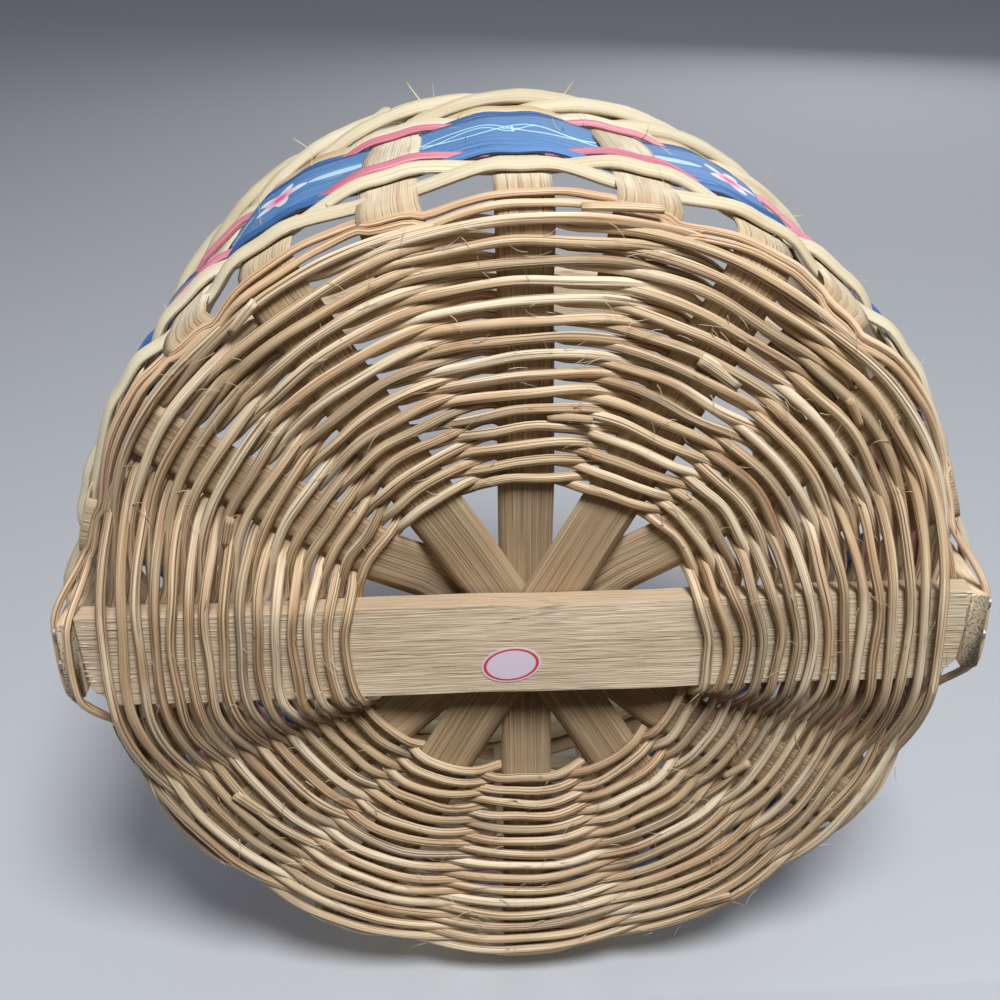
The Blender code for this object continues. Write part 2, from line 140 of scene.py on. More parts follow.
def flatSection(thickness, width, crown=0.0, groove=0.0, count=7):
    outer = []
    inner = []
    for step in range(count):
        share = 2 * step / (count - 1) - 1
        edge = 0.35 if abs(share) > 0.99 else 1
        dip = groove * max(0, 1 - abs(share) * 4)
        outer.append(((thickness / 2 + crown * (1 - share ** 2) - dip) * edge, width / 2 * share))
        inner.append((-thickness / 2 * edge, -width / 2 * share * 0.985))
    return outer + inner


stripNumbers = itertools.count(1)


# One strip of reed swept along a path; facing gives the direction of its outer face
def addStrip(bm, path, facing, section, closed=False, size=None, marks=None):
    shiftAlong = dice.uniform(0, 8)
    shiftAcross = 0.5 * next(stripNumbers)
    count = len(path)
    tangents = []
    for number in range(count):
        before = path[number - 1] if closed or number else path[0]
        after = path[(number + 1) % count] if closed or number < count - 1 else path[-1]
        tangents.append((after - before).normalized())
    lengths = [0.0]
    for number in range(1, count + 1):
        lengths.append(lengths[-1] + (path[number % count] - path[number - 1]).length)
    # a closed strip's map runs out and back, so no seam shows where it closes
    run = [min(reach, lengths[-1] - reach) if closed else reach for reach in lengths]
    around = [0.0]
    for number in range(1, len(section) + 1):
        step = Vector(section[number % len(section)]) - Vector(section[number - 1])
        around.append(around[-1] + step.length)
    columns = count + 1 if closed else count
    strip = bmesh.new()
    made = bmesh.ops.create_grid(strip, x_segments=columns - 1, y_segments=len(section), size=1)
    places = {}
    for number, vert in enumerate(made["verts"]):
        column, row = number % columns, number // columns
        station = column % count
        tangent = tangents[station]
        out = facing[station] - tangent * facing[station].dot(tangent)
        out.normalize()
        side = tangent.cross(out)
        thick, wide = section[row % len(section)]
        scale = size[station] if size else 1
        vert.co = path[station] + (out * thick + side * wide) * scale
        places[vert] = (marks[column] if marks else run[column] + shiftAlong, around[row] + shiftAcross)
    uvMap = strip.loops.layers.uv.new("reed")
    for face in strip.faces:
        face.smooth = True
        for loop in face.loops:
            loop[uvMap].uv = places[loop.vert]
    bmesh.ops.remove_doubles(strip, verts=strip.verts, dist=0.001 * mm)
    if not closed:
        edges = [edge for edge in strip.edges if edge.is_boundary]
        bmesh.ops.holes_fill(strip, edges=edges, sides=0)
    bmesh.ops.recalc_face_normals(strip, faces=strip.faces)
    bridge = bpy.data.meshes.new("strip")
    strip.to_mesh(bridge)
    strip.free()
    bm.from_mesh(bridge)
    bpy.data.meshes.remove(bridge)


def liftFaces(bm, faces, height):
    raised = bmesh.ops.extrude_face_region(bm, geom=faces)["geom"]
    verts = [item for item in raised if isinstance(item, bmesh.types.BMVert)]
    bmesh.ops.translate(bm, verts=verts, vec=(0, 0, height))


def finishPiece(name, bm, material, replaced=()):
    mesh = bpy.data.meshes.new(name)
    bm.to_mesh(mesh)
    bm.free()
    piece = bpy.data.objects.new(name, mesh)
    bpy.context.scene.collection.objects.link(piece)
    mesh.materials.append(material)
    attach(piece, "root")
    if replaced:
        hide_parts(*replaced)


# Materials
def colour(red, green, blue):
    shares = []
    for value in (red, green, blue):
        share = value / 255
        shares.append(share / 12.92 if share <= 0.04045 else ((share + 0.055) / 1.055) ** 2.4)
    return (*shares, 1)


def newMaterial(name, roughness, metallic=0.0):
    made = bpy.data.materials.new(name)
    made.use_nodes = True
    shader = made.node_tree.nodes["Principled BSDF"]
    shader.inputs["Roughness"].default_value = roughness
    shader.inputs["Metallic"].default_value = metallic
    return made, made.node_tree, shader


def addNode(tree, kind, **settings):
    node = tree.nodes.new(kind)
    for key, value in settings.items():
        setattr(node, key, value)
    return node


def plug(tree, socket, value):
    if isinstance(value, bpy.types.NodeSocket):
        tree.links.new(value, socket)
    else:
        socket.default_value = value


def calc(tree, operation, a, b=0.0):
    node = addNode(tree, "ShaderNodeMath", operation=operation)
    plug(tree, node.inputs[0], a)
    plug(tree, node.inputs[1], b)
    return node.outputs[0]


def blendColour(tree, share, a, b):
    node = addNode(tree, "ShaderNodeMix", data_type="RGBA")
    plug(tree, node.inputs[0], share)
    plug(tree, node.inputs[6], a)
    plug(tree, node.inputs[7], b)
    return node.outputs[2]


def stretchedNoise(tree, source, scale, detail=3.0, rough=0.6):
    mapping = addNode(tree, "ShaderNodeMapping")
    plug(tree, mapping.inputs["Vector"], source)
    mapping.inputs["Scale"].default_value = scale
    noise = addNode(tree, "ShaderNodeTexNoise")
    plug(tree, noise.inputs["Vector"], mapping.outputs["Vector"])
    noise.inputs["Scale"].default_value = 1
    noise.inputs["Detail"].default_value = detail
    noise.inputs["Roughness"].default_value = rough
    return noise.outputs["Fac"]


def ramp(tree, value, stops):
    node = addNode(tree, "ShaderNodeValToRGB")
    plug(tree, node.inputs["Fac"], value)
    elements = node.color_ramp.elements
    while len(elements) < len(stops):
        elements.new(0.5)
    for element, (place, shade) in zip(elements, stops):
        element.position = place
        element.color = shade
    return node.outputs["Color"]


def stepBetween(tree, value, low, high):
    node = addNode(tree, "ShaderNodeMapRange", interpolation_type="SMOOTHSTEP")
    plug(tree, node.inputs["Value"], value)
    node.inputs["From Min"].default_value = low
    node.inputs["From Max"].default_value = high
    return node.outputs["Result"]


def fadeBetween(tree, value, low, high):
    return calc(tree, "SUBTRACT", 1, stepBetween(tree, value, low, high))


def layOver(tree, ground, mask, strength, shade):
    return blendColour(tree, calc(tree, "MULTIPLY", mask, strength), ground, colour(*shade))


def addBump(tree, shader, height, strength, distance):
    node = addNode(tree, "ShaderNodeBump")
    node.inputs["Strength"].default_value = strength
    node.inputs["Distance"].default_value = distance
    plug(tree, node.inputs["Height"], height)
    tree.links.new(node.outputs["Normal"], shader.inputs["Normal"])


# The wall colours are for the reeds above the base: for spokes, weavers and brown they are painted light, paler
# than the base colour
reedLook = {
    "spokes": {
        "dark": (128, 104, 78), "middle": (171, 149, 118), "light": (203, 184, 153), "grey": (154, 136, 114),
        "wall": (222, 212, 189), "brown": (164, 126, 96), "fibres": 2300, "grooves": 0.8, "roughness": 0.75,
    },
    "weavers": {
        "dark": (100, 76, 56), "middle": (200, 174, 138), "light": (239, 225, 199), "grey": (148, 134, 113),
        "wall": (206, 184, 154), "brown": (166, 118, 80), "fibres": 2200, "grooves": 0.95, "roughness": 0.62,
    },
    "brown": {
        "dark": (112, 84, 62), "middle": (204, 172, 136), "light": (238, 218, 188), "grey": (160, 141, 119),
        "wall": (214, 189, 156), "brown": (178, 130, 94), "fibres": 2200, "grooves": 0.95, "roughness": 0.62,
    },
    "pale": {
        "dark": (172, 146, 110), "middle": (204, 192, 162), "light": (214, 205, 180), "grey": (190, 178, 150),
        "wall": (203, 192, 164), "brown": (190, 162, 122), "fibres": 1700, "grooves": 0.6, "roughness": 0.58,
    },
    "tan": {
        "dark": (150, 116, 78), "middle": (198, 170, 128), "light": (210, 190, 154), "grey": (174, 152, 118),
        "wall": (190, 168, 130), "brown": (166, 120, 82), "fibres": 1700, "grooves": 0.75, "roughness": 0.6,
    },
    "blue": {
        "dark": (26, 48, 84), "middle": (53, 92, 144), "light": (94, 134, 184), "grey": (46, 82, 130),
        "wall": (55, 96, 150), "brown": (30, 60, 108), "fibres": 1250, "grooves": 0.85, "roughness": 0.6,
    },
    "pink": {
        "dark": (150, 78, 96), "middle": (196, 116, 134), "light": (222, 160, 172), "grey": (186, 108, 126),
        "wall": (200, 120, 138), "brown": (172, 90, 104), "fibres": 1250, "grooves": 0.85, "roughness": 0.6,
    },
}


def reedMaterial(name):
    look = reedLook[name]
    made, tree, shader = newMaterial(name + "Reed", look["roughness"])
    uv = addNode(tree, "ShaderNodeUVMap", uv_map="reed").outputs["UV"]
    place = addNode(tree, "ShaderNodeTexCoord").outputs["Object"]
    parts = addNode(tree, "ShaderNodeSeparateXYZ")
    plug(tree, parts.inputs[0], place)
    fibres = stretchedNoise(tree, uv, (14, look["fibres"], 1), 2.0, 0.65)
    coarse = stretchedNoise(tree, uv, (9, 560, 1), 2.0)
    tone = stretchedNoise(tree, uv, (9, 23, 1), 1.0)
    patches = stretchedNoise(tree, uv, (30, 170, 1), 2.0)
    marks = stretchedNoise(tree, uv, (300, 1800, 1), 2.0)
    # painted light: above the base the reeds are painted paler, standing in for the stronger light on the wall
    litWallShare = stepBetween(tree, parts.outputs[2], 14 * mm, 26 * mm)
    ground = blendColour(tree, litWallShare, colour(*look["middle"]), colour(*look["wall"]))
    ground = layOver(tree, ground, stepBetween(tree, tone, 0.5, 0.64), 0.7, look["light"])
    ground = layOver(tree, ground, fadeBetween(tree, tone, 0.34, 0.5), 0.7, look["grey"])
    ground = layOver(tree, ground, stepBetween(tree, patches, 0.5, 0.7), 0.5, look["brown"])
    # fine grooves run along each reed
    # painted light: the groove darkening is eased on the paler-painted wall
    grooveShareLitWall = calc(tree, "SUBTRACT", 1, calc(tree, "MULTIPLY", litWallShare, 0.45))
    depth = calc(tree, "MULTIPLY", grooveShareLitWall, look["grooves"])
    grooved = layOver(tree, ground, fadeBetween(tree, fibres, 0.36, 0.47), depth, look["dark"])
    lit = layOver(tree, grooved, stepBetween(tree, fibres, 0.53, 0.64), 0.75, look["light"])
    stained = layOver(tree, lit, fadeBetween(tree, coarse, 0.3, 0.46), 0.5, look["brown"])
    spotted = layOver(tree, stained, stepBetween(tree, marks, 0.68, 0.78), 0.45, look["dark"])
    plug(tree, shader.inputs["Base Color"], spotted)
    shader.inputs["Specular IOR Level"].default_value = 0.32
    addBump(tree, shader, calc(tree, "ADD", fibres, calc(tree, "MULTIPLY", coarse, 0.6)), 0.85, 0.4 * mm)
    return made


reeds = {name: reedMaterial(name) for name in reedLook}
print("reed materials ready")

# Spokes and inserted stakes: flat reed that turns up the wall
flatReed = {
    "step": 4 * mm, "crown": 0.12 * mm, "edgeWobble": 0.018,
    "hubCrossing": 31 * mm, "hubLevel": 46 * mm, "pile": 1.3 * mm, "stakeTop": 121.5 * mm,
}


def wallLengths(start, end, step):
    count = max(2, round((end - start) / step))
    return [start + (end - start) * number / count for number in range(count + 1)]


def lengthAtHeight(height):
    low, high = wallBegin, wallBegin + 0.2
    for _ in range(30):
        middle = (low + high) / 2
        if sideView(middle)[1] < height:
            low = middle
        else:
            high = middle
    return low


stakeEnd = lengthAtHeight(flatReed["stakeTop"])
flatProfile = flatSection(basket["spokeThickness"], basket["spokeWidth"], flatReed["crown"])


def wobble(count, amount):
    phases = [dice.uniform(0, 6.28) for _ in range(3)]
    ripples = list(zip((1, 1, 0.5), (0.31, 0.83, 2.1), phases))
    sizes = []
    for number in range(count):
        sizes.append(1 + amount * sum(share * math.sin(number * pace + phase) for share, pace, phase in ripples))
    return sizes


for name, angle in spokeAngles.items():
    lift = -spokeLevels[name] * flatReed["pile"]
    turn = math.radians(angle)
    arm = [(flatReed["hubCrossing"] * 0.5, lift), (flatReed["hubCrossing"], lift), (flatReed["hubLevel"], 0)]
    arm += [(along, 0) for along in wallLengths(flatReed["hubLevel"] + 6 * mm, stakeEnd, flatReed["step"])]
    points = [onBasket(along, offset, turn + math.pi) for along, offset in reversed(arm)]
    faces = [faceAt(along, turn + math.pi) for along, offset in reversed(arm)]
    points += [onBasket(along, offset, turn) for along, offset in arm]
    faces += [faceAt(along, turn) for along, offset in arm]
    bm = bmesh.new()
    share = spokeShares.get(name, 1)
    spokeProfile = [(thick, wide * share) for thick, wide in flatProfile]
    addStrip(bm, points, faces, spokeProfile, size=wobble(len(points), flatReed["edgeWobble"]))
    finishPiece("spoke_" + name[-1], bm, reeds["spokes"], [name])
print("spokes ready")

insertedStake = {"tailStart": 100 * mm, "tailEnd": 117 * mm, "freeStart": 122.5 * mm, "tailOffset": -4.6 * mm}
for number, turn in enumerate(stakeAngles[1::2]):
    tail = wallLengths(insertedStake["tailStart"], insertedStake["tailEnd"], flatReed["step"])
    arm = [(along, insertedStake["tailOffset"]) for along in tail]
    arm += [(along, 0) for along in wallLengths(insertedStake["freeStart"], stakeEnd, flatReed["step"])]
    points = [onBasket(along, offset, turn) for along, offset in arm]
    faces = [faceAt(along, turn) for along, offset in arm]
    bm = bmesh.new()
    addStrip(bm, points, faces, flatProfile, size=wobble(len(points), flatReed["edgeWobble"]))
    stake = f"stake_{number + 1:02d}"
    finishPiece("inserted_" + stake, bm, reeds["spokes"], ["side_" + stake])
print("stakes ready")

# Twined rows: two strands that pass on opposite sides of each upright and swap places between them
twining = {
    "width": 2.8 * mm, "thickness": 2.5 * mm, "twist": 1.05 * mm, "lift": 1.85 * mm, "step": 2.6 * mm,
    "spokeHold": 6 * mm, "frameHold": 13.4 * mm, "drift": 0.7 * mm, "stray": 0.22 * mm,
    "pinch": 4.2 * mm, "pinchWidth": 0.3, "overlap": 2 * mm, "slowPart": 0.62, "quickPart": 0.18, "bulge": 0.55,
}
cornerRows = {
    "lengths": (118.2 * mm, 120.8 * mm), "lift": 1.5 * mm,
    "thickness": 2.1 * mm, "width": 2.4 * mm, "frameHold": 9 * mm,
    "besideFoot": 7.5 * mm, "underFoot": 121.2 * mm, "insideFoot": (117 * mm, 11.2 * mm),
}
waves = [(dice.randint(2, 9), dice.uniform(0, 6.28), dice.uniform(-50, 50)) for _ in range(5)]


def isFrame(index):
    return index % 12 == 0


def soften(share):
    share = min(max(share, 0), 1)
    return share * share * (3 - 2 * share)


def driftAt(angle, along):
    swings = sum(math.sin(turns * angle + phase + along * pull) for turns, phase, pull in waves)
    drift = twining["drift"] * swings / 3
    # the rows draw in towards the middle where they pass under the bar
    reach = (along - basket["firstRow"]) / (basket["lastRow"] - basket["firstRow"])
    if reach <= 1:
        drift -= twining["pinch"] * reach ** 2 * math.exp(-(math.sin(angle) / twining["pinchWidth"]) ** 2)
    return drift


# Where a strand crosses one upright, as radius and height: front is outside the basket or below it
def crossing(index, front, along):
    radius, height, turn = sideView(along)
    half = twining["thickness"] / 2
    corner = along > basket["lastRow"] + 1 * mm
    if not isFrame(index):
        lift = (1 if front else -1) * (cornerRows["lift"] if corner else twining["lift"])
        return radius + lift * math.sin(turn), height - lift * math.cos(turn)
    if not corner:
        return radius, (basket["barUnderside"] - half - 0.1 * mm if front else basket["barTop"] + half + 0.05 * mm)
    # the outer corner row passes outside both feet, the inner one under the left foot and inside the right
    if along > cornerRows["lengths"][0]:
        return basket["hoopOuter"] + half + 0.1 * mm, cornerRows["besideFoot"]
    if index:
        return cornerRows["underFoot"], basket["hoopFoot"] - half - 0.2 * mm
    return cornerRows["insideFoot"]


def strandPath(along, uprights, phase):
    strays = [(dice.randint(5, 21), dice.uniform(0, 6.28)) for _ in range(3)]
    turn = sideView(along)[2]
    path = []
    for order, index in enumerate(uprights):
        following = uprights[(order + 1) % len(uprights)]
        front = (order + phase) % 2 == 0
        here, there = crossing(index, front, along), crossing(following, not front, along)
        first = stakeAngles[index]
        last = stakeAngles[following] + (2 * math.pi if following < index else 0)
        length = sideView(along)[0] * (last - first)
        frameHold = cornerRows["frameHold"] if len(uprights) == 24 else twining["frameHold"]
        holds = [frameHold if isFrame(each) else twining["spokeHold"] for each in (index, following)]
        free = length - holds[0] - holds[1]
        steps = max(8, round(length / twining["step"]))
        for step in range(steps):
            share = step / steps
            rise = soften((share * length - holds[0]) / free)
            angle = first + (last - first) * share
            stray = twining["stray"] * sum(math.sin(turns * angle + start) for turns, start in strays)
            # beside each upright the two strands part, and they swap levels side by side
            passed = (share * length - holds[0] + twining["overlap"]) / (free + 2 * twining["overlap"])
            behind = soften(2 * rise - 1 if front else 1 - 2 * rise)
            gone, left = (share, 1 - passed) if front else (1 - share, passed)
            apart = soften(gone / twining["slowPart"]) * soften(left / twining["quickPart"])
            twist = twining["twist"] * apart * (1 + twining["bulge"] * behind)
            slide = (twist if front else -twist) + stray + driftAt(angle, along)
            radius = here[0] + (there[0] - here[0]) * rise + slide * math.cos(turn)
            height = here[1] + (there[1] - here[1]) * rise + slide * math.sin(turn)
            path.append(Vector((math.cos(angle) * radius, math.sin(angle) * radius, height)))
    return path


def radialFacing(path):
    return [Vector((point.x, point.y, 0)).normalized() for point in path]


strandProfile = ovalSection(twining["width"], twining["thickness"])
rowPitch = (basket["lastRow"] - basket["firstRow"]) / (basket["rowCount"] - 1)
for row in range(basket["rowCount"]):
    bm = bmesh.new()
    for phase in (0, 1):
        path = strandPath(basket["firstRow"] + rowPitch * row, list(range(0, 24, 2)), phase)
        addStrip(bm, path, radialFacing(path), strandProfile, True, wobble(len(path), 0.025))
    finishPiece(f"twined_row_{row + 1:02d}", bm, reeds["weavers"], [f"base_row_{row + 1:02d}"])
print("base rows ready")

cornerProfile = ovalSection(cornerRows["thickness"], cornerRows["width"])
for row, along in enumerate(cornerRows["lengths"]):
    # one strand passes under each arm and behind each inserted stake
    bm = bmesh.new()
    path = strandPath(along, list(range(24)), 0)
    addStrip(bm, path, radialFacing(path), cornerProfile, True, wobble(len(path), 0.03))
    finishPiece(f"corner_twining_{row + 1}", bm, reeds["brown"], [f"corner_row_{row + 1}"])
print("corner rows ready")


# Rows of the wall pass outside and inside the uprights in turn
wallRows = {"gap": 1.2 * mm, "hoopRoom": 1 * mm, "stakeRoom": 0.8 * mm, "swell": 0.25 * mm, "wander": 0.45 * mm}


def wallPoints(along, firstSide, depth, wander):
    points = []
    for index, angle in enumerate(stakeAngles):
        side = firstSide * (-1 if index % 2 else 1)
        wiggle = dice.uniform(-1, 1) * wander
        if isFrame(index):
            radius = basket["hoopOuter"] + depth if side > 0 else basket["hoopInner"] - depth
            height = onBasket(along, 0, angle).z
            reach = basket["hoopWidth"] / 2 + wallRows["hoopRoom"]
            for share in (-1, 0, 1):
                point = outwardAt(angle) * radius + acrossAt(angle) * share * reach
                point.z = height + wiggle
                points.append(point)
        else:
            reach = basket["spokeWidth"] / 2 + wallRows["stakeRoom"]
            for share in (-1, 0, 1):
                offset = side * (basket["spokeThickness"] / 2 + depth + (0 if share else wallRows["swell"]))
                point = onBasket(along, offset, angle, share * reach)
                point.z += wiggle
                points.append(point)
    return points


# Flat rows from the base upwards: width in the part, width, thickness, crown, groove, look, slot
sideRows = {
    "pale_row_1": (7, 7, 1.4, 1.3, 0.0, "pale", "pale_reed"),
    "pale_row_2": (7, 7, 1.4, 1.3, 0.0, "pale", "pale_reed"),
    "blue_row_1": (4, 4.2, 1.2, 0.5, 0.35, "blue", "blue_reed"),
    "pink_row_1": (4, 4.2, 1.2, 0.5, 0.35, "pink", "pink_reed"),
    "printed_band": (36, 36, 0.7, 0.1, 0.0, "band", "printed_band"),
    "pink_row_2": (4, 4.2, 1.2, 0.5, 0.35, "pink", "pink_reed"),
    "blue_row_2": (4, 4.2, 1.2, 0.5, 0.35, "blue", "blue_reed"),
    "pale_row_3": (7, 7, 1.3, 0.8, 0.0, "pale", "pale_reed"),
    "tan_row": (7, 7, 1.3, 0.8, 0.0, "tan", "tan_reed"),
}

# The band's pattern repeats once for every second stake, so each place where it shows has its own motif
bandPrint = {"repeat": 64 * mm, "middle": 18 * mm, "wander": 0.15 * mm}


def printedBandMaterial():
    made, tree, shader = newMaterial("printedBand", 0.62)
    uv = addNode(tree, "ShaderNodeUVMap", uv_map="reed").outputs["UV"]
    parts = addNode(tree, "ShaderNodeSeparateXYZ")
    plug(tree, parts.inputs[0], uv)
    repeat, middle = bandPrint["repeat"], bandPrint["middle"]
    across = calc(tree, "SUBTRACT", calc(tree, "MODULO", parts.outputs[1], 0.5), middle)
    shifted = calc(tree, "ADD", parts.outputs[0], repeat * 4.5)
    along = calc(tree, "SUBTRACT", calc(tree, "MODULO", shifted, repeat), repeat / 2)
    second = calc(tree, "LESS_THAN", calc(tree, "MODULO", shifted, repeat * 2), repeat)
    fibres = stretchedNoise(tree, uv, (12, 1400, 1), 4.0)
    worn = stretchedNoise(tree, uv, (60, 260, 1), 3.0)
    blues = [(0.28, colour(48, 84, 132)), (0.5, colour(78, 120, 170)), (0.74, colour(114, 154, 197))]
    ground = ramp(tree, fibres, blues)

    def line(distance, width):
        return fadeBetween(tree, calc(tree, "ABSOLUTE", distance), width * 0.6, width)

    def squared(value, scale=1.0):
        return calc(tree, "POWER", calc(tree, "DIVIDE", value, scale), 2)

    # two thin scrolls that cross, with a small star between them
    masks = []
    for height, length, start in ((5.5 * mm, 0.046, 0.0), (-4.5 * mm, 0.034, 0.9), (2.6 * mm, 0.019, 2.1)):
        turned = calc(tree, "ADD", calc(tree, "MULTIPLY", along, 2 * math.pi / length), start)
        curve = calc(tree, "MULTIPLY", calc(tree, "SINE", turned), height)
        masks.append(line(calc(tree, "SUBTRACT", across, curve), 0.62 * mm))
    for slope in (0, 1):
        thin, long = (along, across) if slope else (across, along)
        tip = fadeBetween(tree, calc(tree, "ABSOLUTE", long), 3.4 * mm, 4 * mm)
        masks.append(calc(tree, "MULTIPLY", line(thin, 0.45 * mm), tip))
    scroll = masks[0]
    for mask in masks[1:]:
        scroll = calc(tree, "MAXIMUM", scroll, mask)
    ends = fadeBetween(tree, calc(tree, "ABSOLUTE", along), 21 * mm, 25 * mm)
    scroll = calc(tree, "MULTIPLY", calc(tree, "MULTIPLY", scroll, ends), 0.92)
    # a five-petalled flower with two leaves
    reach = calc(tree, "SQRT", calc(tree, "ADD", squared(along), squared(across)))
    petals = calc(tree, "COSINE", calc(tree, "MULTIPLY", calc(tree, "ARCTAN2", across, along), 5))
    edge = calc(tree, "ADD", calc(tree, "MULTIPLY", petals, 2.6 * mm), 8 * mm)
    flower = fadeBetween(tree, calc(tree, "SUBTRACT", reach, edge), -0.4 * mm, 0.3 * mm)
    heart = fadeBetween(tree, reach, 2.1 * mm, 2.9 * mm)
    leafAlong = calc(tree, "SUBTRACT", calc(tree, "ABSOLUTE", along), 17 * mm)
    leafReach = calc(tree, "ADD", squared(leafAlong, 6.5 * mm), squared(across, 2.6 * mm))
    leaf = fadeBetween(tree, leafReach, 0.85, 1.05)
    petalTip = stepBetween(tree, reach, 2.5 * mm, 8 * mm)
    petalShade = blendColour(tree, petalTip, colour(218, 146, 170), colour(208, 212, 222))
    flowered = layOver(tree, ground, leaf, 0.85, (176, 208, 226))
    flowered = blendColour(tree, flower, flowered, petalShade)
    flowered = blendColour(tree, heart, flowered, colour(204, 92, 128))
    scrolled = blendColour(tree, scroll, ground, colour(178, 222, 236))
    painted = blendColour(tree, second, scrolled, flowered)
    painted = layOver(tree, painted, stepBetween(tree, worn, 0.62, 0.78), 0.35, (150, 180, 206))
    # only the outer face is printed
    inner = stepBetween(tree, across, bandPrint["middle"] + 0.4 * mm, bandPrint["middle"] + 0.9 * mm)
    browns = [(0.3, colour(140, 112, 80)), (0.5, colour(176, 150, 114)), (0.7, colour(206, 184, 148))]
    plain = ramp(tree, fibres, browns)
    plug(tree, shader.inputs["Base Color"], blendColour(tree, inner, painted, plain))
    shader.inputs["Specular IOR Level"].default_value = 0.3
    addBump(tree, shader, fibres, 0.4, 0.2 * mm)
    return made


reeds["band"] = printedBandMaterial()
start = basket["sideStart"]
for number, (name, (packedWidth, width, thick, crown, groove, look, slotName)) in enumerate(sideRows.items()):
    side = 1 if number % 2 == 0 else -1
    depth = (thick / 2 + 0.15) * mm
    wander = (bandPrint if name == "printed_band" else wallRows)["wander"]
    path = smoothPath(wallPoints(start + packedWidth * mm / 2, side, depth, wander), 4, True)
    section = flatSection(thick * mm, width * mm, crown * mm, groove * mm, 9)
    bm = bmesh.new()
    marks = None
    if name == "printed_band":
        marks = [(station - 4) / 24 * bandPrint["repeat"] for station in range(len(path) + 1)]
    addStrip(bm, path, radialFacing(path), section, True, wobble(len(path), 0.02), marks)
    finishPiece("woven_" + name, bm, reeds[look], [name])
    start += packedWidth * mm + wallRows["gap"]
print("side rows ready")

# Folded border: each stake's end turned down and led past its neighbours like a rope
border = {
    "width": 7.8 * mm, "thickness": 1.9 * mm, "crown": 1.7 * mm, "span": 2.5, "steps": 12,
    "low": 115 * mm, "high": 125.5 * mm, "out": 5 * mm, "inside": -2.2 * mm, "hoopRoom": 9 * mm,
}


def borderPoints(index, outside):
    points = []
    gap = 2 * math.pi / 24
    for step in range(border["steps"] + 1):
        share = step / border["steps"]
        turn = stakeAngles[index] + share * border["span"] * gap
        swell = math.sin(math.pi * share)
        if outside:
            offset = border["inside"] * (1 - swell) * 0.6 + border["out"] * swell ** 0.7
            height = border["low"] + (border["high"] - border["low"]) * share
        else:
            offset = border["inside"] - 0.9 * mm * swell
            height = border["high"] - (border["high"] - border["low"]) * share
        length = lengthAtHeight(height)
        # behind the hoop the inside ends lie a little deeper
        if not outside and abs(math.cos(turn)) > 0.985:
            offset -= 0.5 * mm
        point = onBasket(length, offset, turn)
        # beside the hoop the ends pass just outside or just inside it
        flat = point.to_2d().length
        closeness = max(0, 1 - abs(math.sin(turn)) * flat / (basket["hoopWidth"] / 2 + border["hoopRoom"]))
        keep = min(1, closeness * 2.2)
        if outside:
            wanted = basket["hoopOuter"] + border["thickness"] / 2 + 0.4 * mm + 1.8 * mm * swell
            radius = flat + (max(flat, wanted) - flat) * keep
        else:
            wanted = basket["hoopInner"] - border["thickness"] / 2 - 0.3 * mm - 0.6 * mm * swell
            radius = flat + (min(flat, wanted) - flat) * keep
        points.append(Vector((math.cos(turn) * radius, math.sin(turn) * radius, point.z)))
    return points


borderProfile = flatSection(border["thickness"], border["width"], border["crown"], 0, 9)
bm = bmesh.new()
for index in range(24):
    for outside in (True, False):
        path = smoothPath(borderPoints(index, outside), 3, False)
        way = 1 if outside else -1
        facing = [direction * way for direction in radialFacing(path)]
        addStrip(bm, path, facing, borderProfile, size=wobble(len(path), 0.04))
finishPiece("folded_border", bm, reeds["pale"], ["border_outside", "border_inside"])
print("border ready")

# Base bar: rough sawn board with cut lower corners and splintered ends
baseBar = {"length": 237 * mm, "slant": 1.5 * mm, "cut": 6 * mm, "edge": 0.4 * mm, "cuts": 36, "splinters": 30}


